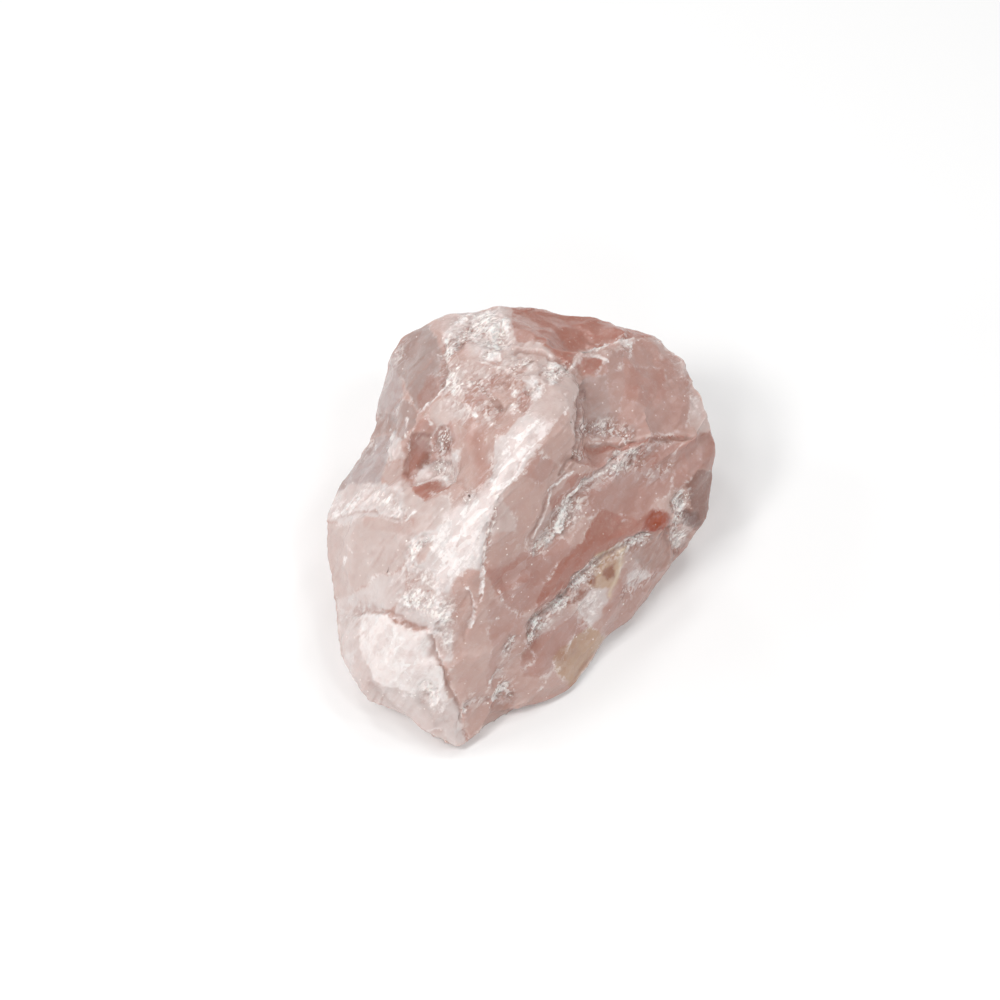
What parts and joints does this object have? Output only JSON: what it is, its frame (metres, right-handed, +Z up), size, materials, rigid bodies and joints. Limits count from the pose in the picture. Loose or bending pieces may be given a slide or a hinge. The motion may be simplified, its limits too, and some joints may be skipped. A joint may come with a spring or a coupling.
{
  "type": "rough rose quartz chunk",
  "caption": "Rough broken chunk of rose quartz with a broad sloping face, a blade-like toe and a flat break underneath that it rests on, kept as a display stone.",
  "frame": {"origin": "under the middle of the stone's bounding box, on the plane of the flat break that it rests on", "axes": "+Z up off the flat break, which is the stone's thinnest way; +Y towards the high back, along its longest way; +X to the right as seen from the toe"},
  "size_m": [0.0694, 0.0744, 0.0453],
  "materials": {
    "rose_quartz": "freshly broken cloudy pink quartz, glassy on its small faces, with frosty white veils and edges"
  },
  "bodies": {
    "root": {"rose_quartz": "rose_quartz"}
  },
  "joints": []
}
